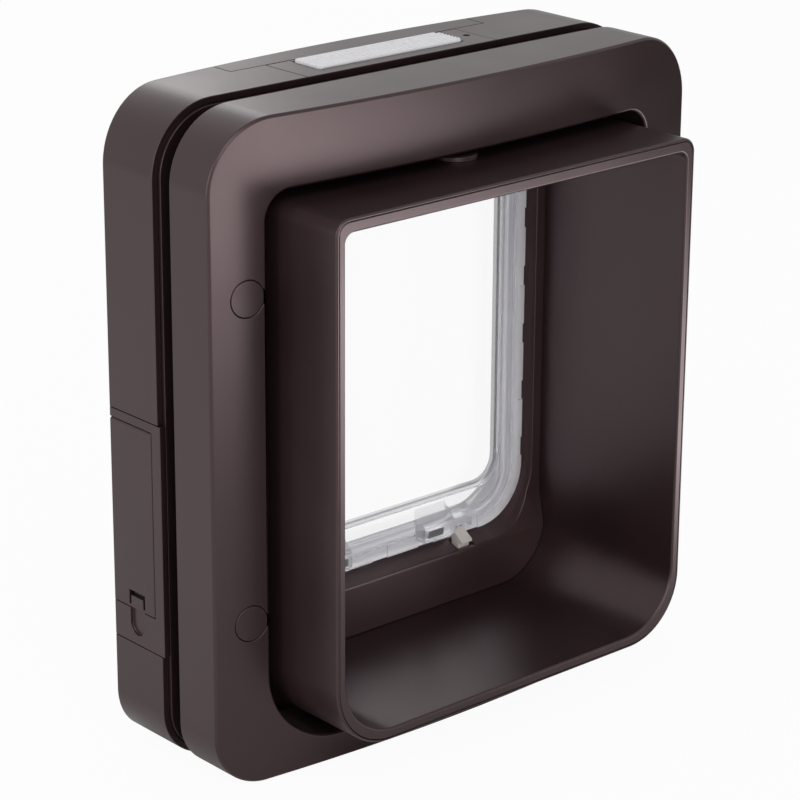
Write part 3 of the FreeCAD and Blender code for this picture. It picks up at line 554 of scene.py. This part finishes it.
class CatFlapStage(bpy.types.PropertyGroup):
    key_power: FloatProperty(
        name="Key light", description="Power of the soft light at the upper left", default=9.0,
        min=0.0, unit="POWER")
    front_power: FloatProperty(
        name="Front light", description="Power of the low light in front", default=5.0,
        min=0.0, unit="POWER")
    left_power: FloatProperty(
        name="Left light", description="Power of the soft light at the left", default=8.5,
        min=0.0, unit="POWER")
    back_power: FloatProperty(
        name="Back light", description="Power of the soft light behind", default=3.0,
        min=0.0, unit="POWER")
    world_level: FloatProperty(
        name="World", description="Strength of the even light", default=0.4, min=0.0)
    glossy_level: FloatProperty(
        name="Reflected world", description="What gloss sees of the world", default=0.72,
        min=0.0)
    window: FloatProperty(
        name="Window", description="Strength of the bright floor that gloss sees", default=7.0,
        min=0.0)
    left_floor: FloatProperty(
        name="Left floor", description="What gloss sees of the floor's left", default=0.25,
        min=0.0, max=1.0, subtype="FACTOR")
    right_floor: FloatProperty(
        name="Right floor", description="How much deeper gloss sees the floor's right",
        default=0.85, min=0.0, max=1.0, subtype="FACTOR")
    shadow: FloatProperty(
        name="Shadow", description="Share of the floor's own shading that shows", default=0.05,
        min=0.0, max=1.0, subtype="FACTOR")


class CATFLAP_OT_mouldings(bpy.types.Operator):
    """Breaks the edges of the brown mouldings and gives them their satin finish"""

    bl_idname = "cat_flap.mouldings"
    bl_label = "Finish mouldings"

    def execute(self, context):
        looks = context.scene.cat_flap_looks
        outer = brown_plastic(looks, "brown_plastic", 1.0)
        # The flap's frame takes a paler copy of the same brown: painted light deep inside the
        # tunnel
        frame_brown_painted_light = brown_plastic(looks, "inner_brown", looks.frame_painted_light_gain)
        for name in BASE_MOULDINGS:
            broken_edges(name, "base", outer, looks.edge_width)
        for name, body in COVERS.items():
            broken_edges(name, body, outer, looks.edge_width)
        broken_edges("flap_frame", "base", frame_brown_painted_light, looks.edge_width)
        return {"FINISHED"}


class CATFLAP_OT_clear_parts(bpy.types.Operator):
    """Gives the flap, its seal, the lens and the lock bolts their finishes"""

    bl_idname = "cat_flap.clear_parts"
    bl_label = "Finish flap, lens and bolts"

    def execute(self, context):
        looks = context.scene.cat_flap_looks
        dress(clear_plastic(looks), "flap")
        dress(seal_strip(looks), "flap_seal")
        dress(lens_plastic(looks), "control_lens")
        cream = cream_plastic(looks)
        for name, body in BOLTS.items():
            broken_edges(name, body, cream, looks.edge_width)
        return {"FINISHED"}


class CATFLAP_OT_inner_parts(bpy.types.Operator):
    """Gives the fasteners, bearings, electronics and cells their finishes"""

    bl_idname = "cat_flap.inner_parts"
    bl_label = "Finish inner parts"

    def execute(self, context):
        for name, colour, rough, nodes in METALS:
            dress(plain_metal(name, colour, rough), *nodes)
        for name, colour, rough, nodes in PLASTICS:
            dress(plain_plastic(name, colour, rough), *nodes)
        dress(cell_sleeve(), "battery_cells_left", "battery_cells_right")
        dress(copper_winding(), "antenna_coil")
        return {"FINISHED"}


# Stage

def add_camera():
    """Puts the camera at the photograph's viewing angle."""
    yaw, pitch, roll = (math.radians(a) for a in (CAMERA_YAW, CAMERA_PITCH, CAMERA_ROLL))
    forward = Vector((math.sin(yaw) * math.cos(pitch), math.cos(yaw) * math.cos(pitch),
                      math.sin(pitch)))
    right = Vector((math.cos(yaw), -math.sin(yaw), 0.0))
    up = right.cross(forward)
    rolled_right = right * math.cos(roll) + up * math.sin(roll)
    rolled_up = up * math.cos(roll) - right * math.sin(roll)
    data = bpy.data.cameras.new("camera")
    data.lens = CAMERA_LENS
    data.sensor_width = SENSOR_WIDTH
    camera = bpy.data.objects.new("camera", data)
    axes = Matrix((rolled_right, rolled_up, -forward)).transposed()
    camera.matrix_world = (Matrix.Translation(CAMERA_AIM - forward * CAMERA_DISTANCE)
                           @ axes.to_4x4())
    bpy.context.scene.collection.objects.link(camera)
    bpy.context.scene.camera = camera


def add_softbox(name, place, aim, width, height, power):
    """A rectangular soft light that faces a point."""
    data = bpy.data.lights.new(name, "AREA")
    data.shape = "RECTANGLE"
    data.size = width
    data.size_y = height
    data.energy = power
    light = bpy.data.objects.new(name, data)
    light.location = place
    light.rotation_euler = (Vector(aim) - Vector(place)).to_track_quat("-Z", "Y").to_euler()
    bpy.context.scene.collection.objects.link(light)


def background_rays(look):
    """Two masks: rays that show the plain white studio, and rays of gloss."""
    path = look.node("ShaderNodeLightPath")
    seen = [Value(look, path.outputs[name]) for name in ("Is Camera Ray", "Is Transmission Ray")]
    return seen[0] + seen[1], Value(look, path.outputs["Is Glossy Ray"])


def floor_look(stage):
    """Pale floor that shows white and keeps the object's shadow.

    Gloss sees a bright window's band in front of the object, a faint glow at its left and
    a deeper floor at its right.
    """
    look = Look("studio_floor")
    look.tree.nodes.remove(look.shader)
    seen, glossy = background_rays(look)
    x, y, _ = look.axes()
    far = look.rise((x * x + y * y) ** 0.5, *NEAR_STRETCH)
    front = look.rise(x, *WINDOW_LEFT) * look.fall(x, *WINDOW_RIGHT)
    ahead = look.fall(y, *WINDOW_REAR)
    left = look.fall(x, *LEFT_STRETCH)
    right = look.rise(x, *RIGHT_STRETCH)
    pale = look.node("ShaderNodeBsdfDiffuse", None, {"Color": rgba([FLOOR_TONE] * 3)})
    deep = look.node("ShaderNodeBsdfDiffuse", None, {"Color": rgba([0.0] * 3)})
    white = look.node("ShaderNodeEmission", None, {"Strength": 1.0})
    window = look.node("ShaderNodeEmission", None, {"Strength": stage.window})
    floor = look.mixed_shaders(glossy * right * stage.right_floor, pale, deep)
    lit = look.mixed_shaders(glossy * far * front * ahead, floor, window)
    shown = look.mixed_shaders(
        seen * (1.0 - stage.shadow) + glossy * far * left * stage.left_floor, lit, white)
    look.plug(look.tree.nodes["Material Output"].inputs["Surface"], shown.outputs[0])
    return look


def add_floor(stage):
    """A pale floor just under the object."""
    below = CAD_BOX[0].z - FLOOR_DROP
    mesh = bpy.data.meshes.new("floor")
    shape = bmesh.new()
    bmesh.ops.create_grid(shape, x_segments=1, y_segments=1, size=FLOOR_HALF,
                          matrix=Matrix.Translation((0, 0, below)))
    shape.to_mesh(mesh)
    shape.free()
    floor = bpy.data.objects.new("floor", mesh)
    floor.data.materials.append(floor_look(stage).material)
    bpy.context.scene.collection.objects.link(floor)


def set_world(level, glossy_level):
    """Even light all round, white where the camera sees it."""
    world = bpy.data.worlds.new("studio")
    bpy.context.scene.world = world
    look = Look("studio", world)
    seen, glossy = background_rays(look)
    strength = seen * (1.0 - level) + glossy * (glossy_level - level) + level
    look.surface(Color=(1.0, 1.0, 1.0, 1.0), Strength=strength)


class CATFLAP_OT_stage(bpy.types.Operator):
    """Adds the floor, the soft lights, the world and the camera"""

    bl_idname = "cat_flap.stage"
    bl_label = "Set the stage"

    def execute(self, context):
        stage = context.scene.cat_flap_stage
        add_floor(stage)
        for name, place, aim, width, height in SOFTBOXES:
            add_softbox(name, place, aim, width, height, getattr(stage, name + "_power"))
        set_world(stage.world_level, stage.glossy_level)
        add_camera()
        context.scene.view_settings.view_transform = "Standard"
        return {"FINISHED"}


class CATFLAP_PT_looks(bpy.types.Panel):
    """Lists the finishes, the lights and the operators in the sidebar"""

    bl_idname = "CATFLAP_PT_looks"
    bl_label = "Cat flap"
    bl_space_type = "VIEW_3D"
    bl_region_type = "UI"
    bl_category = "Cat Flap"

    def draw(self, context):
        for group in (context.scene.cat_flap_looks, context.scene.cat_flap_stage):
            box = self.layout.box()
            for key in group.__annotations__:
                box.prop(group, key)
        for operator in OPERATORS:
            self.layout.operator(operator.bl_idname)


OPERATORS = (CATFLAP_OT_mouldings, CATFLAP_OT_clear_parts, CATFLAP_OT_inner_parts,
             CATFLAP_OT_stage)
CLASSES = (CatFlapLooks, CatFlapStage) + OPERATORS + (CATFLAP_PT_looks,)


def register():
    for cls in CLASSES:
        bpy.utils.register_class(cls)
    bpy.types.Scene.cat_flap_looks = PointerProperty(type=CatFlapLooks)
    bpy.types.Scene.cat_flap_stage = PointerProperty(type=CatFlapStage)


def unregister():
    del bpy.types.Scene.cat_flap_stage
    del bpy.types.Scene.cat_flap_looks
    for cls in reversed(CLASSES):
        bpy.utils.unregister_class(cls)


def main():
    register()
    bpy.ops.cat_flap.mouldings()
    bpy.ops.cat_flap.clear_parts()
    bpy.ops.cat_flap.inner_parts()
    bpy.ops.cat_flap.stage()


if __name__ == "__main__":
    main()
